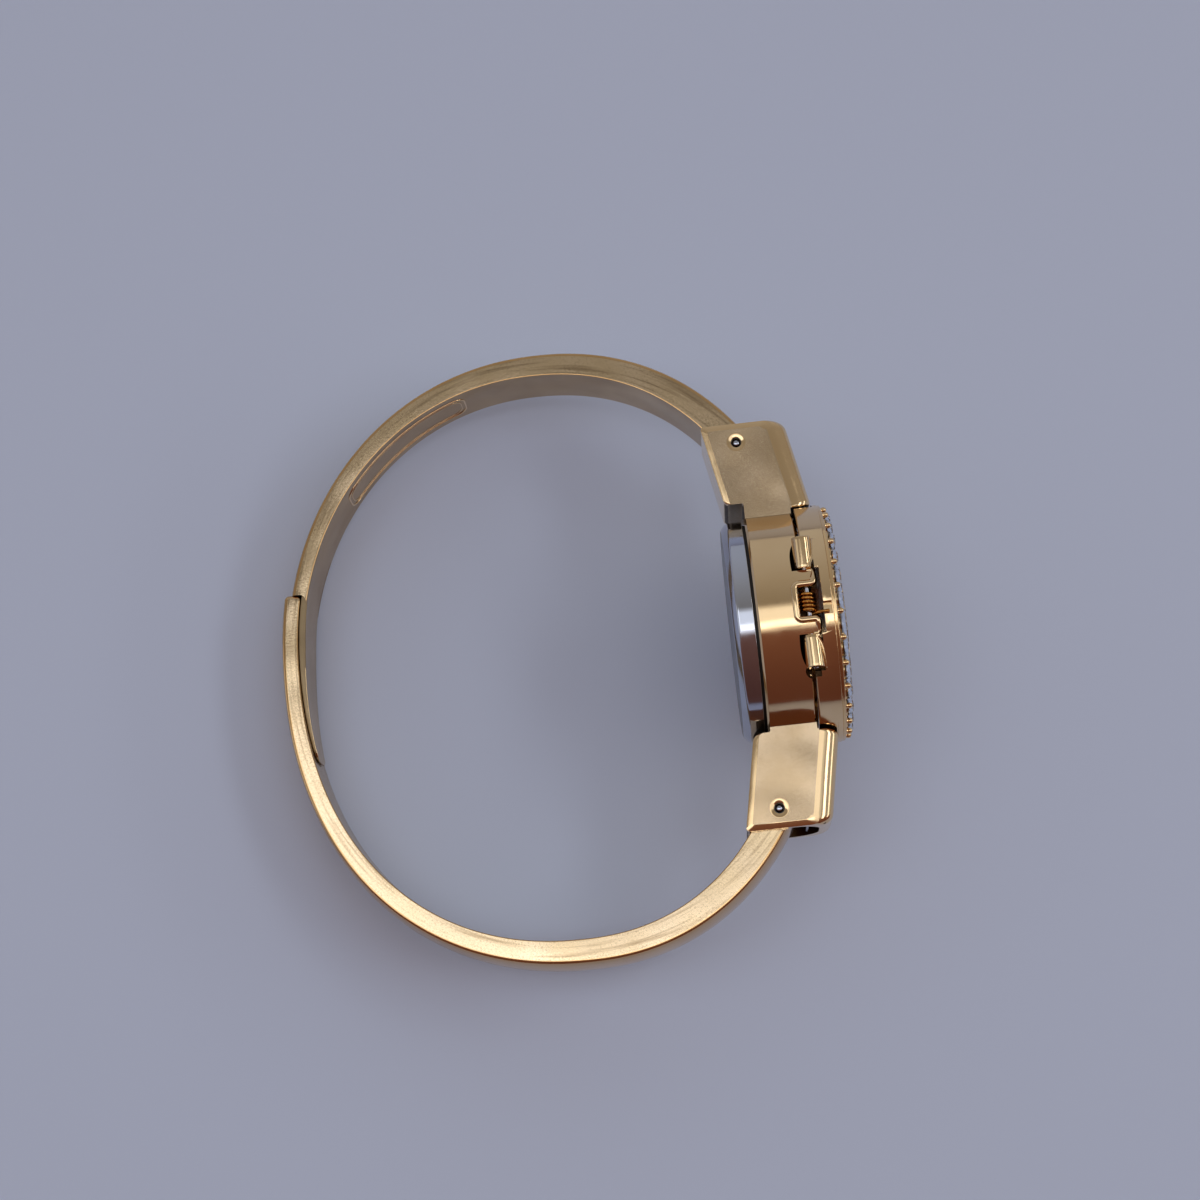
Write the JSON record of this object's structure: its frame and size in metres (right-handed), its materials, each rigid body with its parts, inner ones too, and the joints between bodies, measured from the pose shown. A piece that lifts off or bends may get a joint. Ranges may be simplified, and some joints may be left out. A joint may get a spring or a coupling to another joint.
{
  "type": "bangle wristwatch with hinged cover",
  "caption": "Gold bangle wristwatch whose round stone-set cover springs open over the dial, with two hinged oval arms that close round the wrist.",
  "frame": {"origin": "middle of the outer face of the case back, which lies on the wrist", "axes": "+X out through the dial, +Y to 12 o'clock, +Z to 9 o'clock where the cover's hinge is"},
  "size_m": [0.0594, 0.0655, 0.0265],
  "materials": {
    "polished_gold": "mirror polished",
    "brushed_gold": "finely brushed sides, polished edges",
    "satin_gold": "satin edges, polished outer face",
    "setting_gold": "bright cut beads",
    "plated_brass": "fine matt plating",
    "spring_bronze": "drawn wire",
    "polished_steel": "mirror polished",
    "battery_steel": "satin",
    "spring_steel": "rolled strip",
    "seal_rubber": "matt",
    "seal_plastic": "matt",
    "holder_plastic": "moulded",
    "crystal_glass": "clear polished",
    "clear_stone": "cut and polished",
    "dial_enamel": "lacquered"
  },
  "bodies": {
    "case": {"case_body": "polished_gold", "case_back": "polished_steel", "back_gasket": "seal_rubber", "crystal": "crystal_glass", "crystal_gasket": "seal_plastic", "dial": "dial_enamel", "hour_markers": "polished_gold", "movement": "plated_brass", "movement_holder": "holder_plastic", "battery": "battery_steel", "battery_strap": "plated_brass", "strap_screws": "polished_steel", "crown_tube": "polished_steel", "lid_hinge_pin": "polished_steel", "lid_spring": "spring_bronze", "upper_end_piece": "brushed_gold", "lower_end_piece": "brushed_gold", "upper_arm_pin": "polished_steel", "lower_arm_pin": "polished_steel", "upper_arm_spring": "spring_steel", "lower_arm_spring": "spring_steel"},
    "cover": {"lid_frame": "polished_gold", "lid_catch": "polished_steel", "stone_setting": "setting_gold", "outer_stones": "clear_stone", "inner_stones": "clear_stone"},
    "upper_arm_body": {"upper_arm": "satin_gold", "clasp_tongue": "satin_gold"},
    "lower_arm_body": {"lower_arm": "satin_gold"},
    "stem_body": {"winding_stem": "polished_steel"},
    "crown_body": {"crown": "polished_gold"},
    "hour_hand_body": {"hour_hand": "polished_gold"},
    "minute_hand_body": {"minute_hand": "polished_gold"},
    "button_body": {"release_button": "polished_gold"}
  },
  "joints": [
    {"name": "cover_hinge", "type": "hinge", "parent": "case", "child": "cover", "pos_m": [0.0078, 0, 0.0112], "axis": [0, -1, 0], "range_deg": [0, 105], "deforming": ["lid_spring"]},
    {"name": "lower_arm_hinge", "type": "hinge", "parent": "case", "child": "lower_arm_body", "pos_m": [0.0027, -0.01945, 0], "axis": [0, 0, 1], "range_deg": [0, 40], "stiffness_Nm_per_rad": 0.15, "springref_deg": -10.03, "deforming": ["lower_arm_spring"]},
    {"name": "upper_arm_hinge", "type": "hinge", "parent": "case", "child": "upper_arm_body", "pos_m": [0.0027, 0.01945, 0], "axis": [0, 0, -1], "range_deg": [0, 12], "stiffness_Nm_per_rad": 0.15, "springref_deg": -10.03, "deforming": ["upper_arm_spring"]},
    {"name": "crown_pull", "type": "slide", "parent": "case", "child": "stem_body", "axis": [0, 0, -1], "range_m": [0, 0.0008]},
    {"name": "crown_turn", "type": "hinge", "parent": "stem_body", "child": "crown_body", "pos_m": [0.0033, 0, -0.013], "axis": [0, 0, 1], "continuous": true},
    {"name": "minute_hand_turn", "type": "hinge", "parent": "case", "child": "minute_hand_body", "pos_m": [0.005, 0, 0], "axis": [-1, 0, 0], "continuous": true},
    {"name": "hour_hand_turn", "type": "hinge", "parent": "case", "child": "hour_hand_body", "pos_m": [0.005, 0, 0], "axis": [-1, 0, 0], "continuous": true},
    {"name": "release_press", "type": "slide", "parent": "case", "child": "button_body", "axis": [0, 0, 1], "range_m": [0, 0.00035], "stiffness_N_per_m": 400}
  ],
  "couplings": [
    {"joint": "upper_arm_hinge", "follows": "lower_arm_hinge", "ratio": 0.3},
    {"joint": "hour_hand_turn", "follows": "minute_hand_turn", "ratio": 0.083333}
  ]
}
